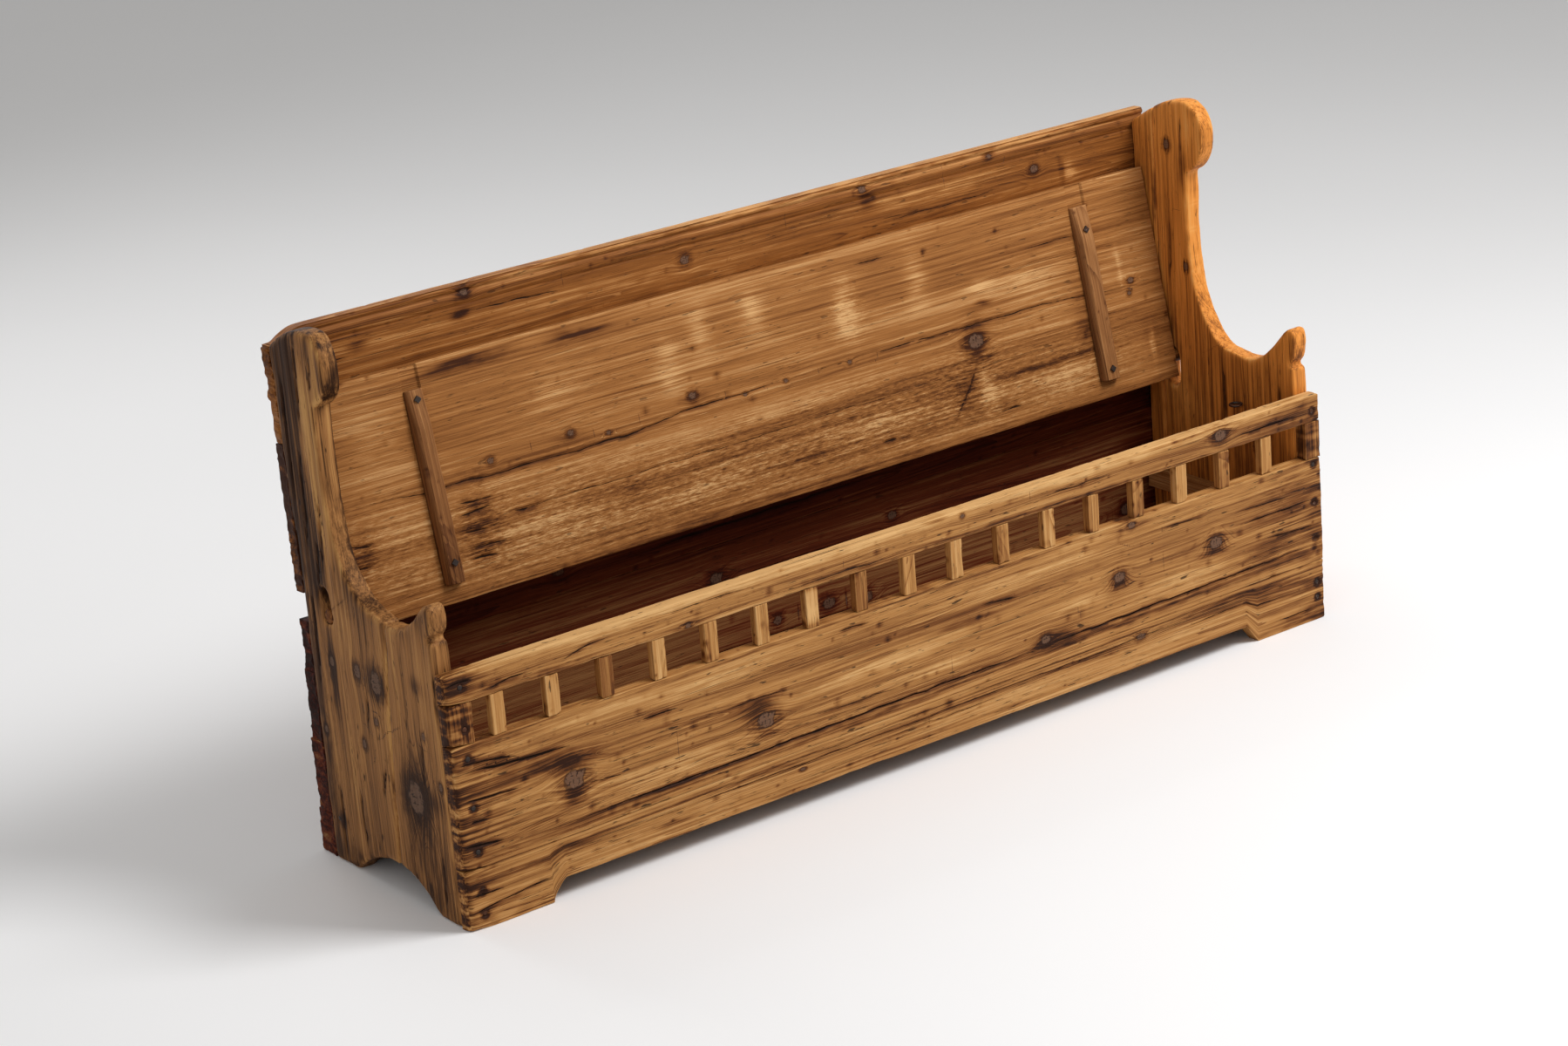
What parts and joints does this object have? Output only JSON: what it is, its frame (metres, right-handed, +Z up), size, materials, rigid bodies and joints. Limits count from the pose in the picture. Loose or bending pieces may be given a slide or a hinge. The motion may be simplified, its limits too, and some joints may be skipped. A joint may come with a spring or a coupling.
{
  "type": "settle bench",
  "caption": "High-backed plank settle with scrolled side panels, a balustered front and a hinged lid seat that opens over a storage box.",
  "frame": {"origin": "on the floor under the middle of the bench's bounding box", "axes": "+X along the bench to the sitter's left, seen from the front to the right; the front faces -Y; +Z up"},
  "size_m": [1.8, 0.45, 0.9039],
  "materials": {
    "front_wood": "old honey pine, waxed, worn pale at the edges and dark in pores and dents",
    "side_wood": "weathered pine with dark streaks, grey knots and worn rims",
    "back_wood": "sawn pine, dark with age, waxed on the upper boards",
    "lid_wood": "sawn underside with fine cross saw lines, planed edge",
    "batten_wood": "smooth reddish brown",
    "inner_wood": "rough sawn, dark and dry",
    "iron": "hand-forged iron, dull dark grey"
  },
  "bodies": {
    "bench": {"back_floor_plank": "back_wood", "back_fourth_plank": "back_wood", "back_lower_board": "back_wood", "back_middle_board": "back_wood", "back_nails": "iron", "back_second_plank": "back_wood", "back_third_plank": "back_wood", "back_top_board": "back_wood", "cleat_nails": "iron", "floor_board_front": "inner_wood", "floor_board_middle": "inner_wood", "floor_board_rear": "inner_wood", "floor_cleat_left": "inner_wood", "floor_cleat_right": "inner_wood", "front_apron": "front_wood", "front_nails": "iron", "front_plank": "front_wood", "front_top_rail": "front_wood", "gallery_baluster_01": "front_wood", "gallery_baluster_02": "front_wood", "gallery_baluster_03": "front_wood", "gallery_baluster_04": "front_wood", "gallery_baluster_05": "front_wood", "gallery_baluster_06": "front_wood", "gallery_baluster_07": "front_wood", "gallery_baluster_08": "front_wood", "gallery_baluster_09": "front_wood", "gallery_baluster_10": "front_wood", "gallery_baluster_11": "front_wood", "gallery_baluster_12": "front_wood", "gallery_baluster_13": "front_wood", "gallery_baluster_14": "front_wood", "gallery_baluster_15": "front_wood", "gallery_baluster_16": "front_wood", "gallery_baluster_17": "front_wood", "gallery_block_left": "front_wood", "gallery_block_right": "front_wood", "iron_eye": "iron", "left_side_front_board": "side_wood", "left_side_rear_board": "side_wood", "right_side_board": "side_wood", "right_side_rear_strip": "side_wood", "side_nail": "iron", "till_cleat_right": "inner_wood"},
    "lid": {"batten_nails": "iron", "lid_batten_left": "batten_wood", "lid_batten_right": "batten_wood", "lid_board": "lid_wood"}
  },
  "joints": [
    {"name": "lid_hinge", "type": "hinge", "parent": "bench", "child": "lid", "pos_m": [0, 0.111, 0.4293], "axis": [1, 0, 0], "range_deg": [0, 101.9]}
  ]
}
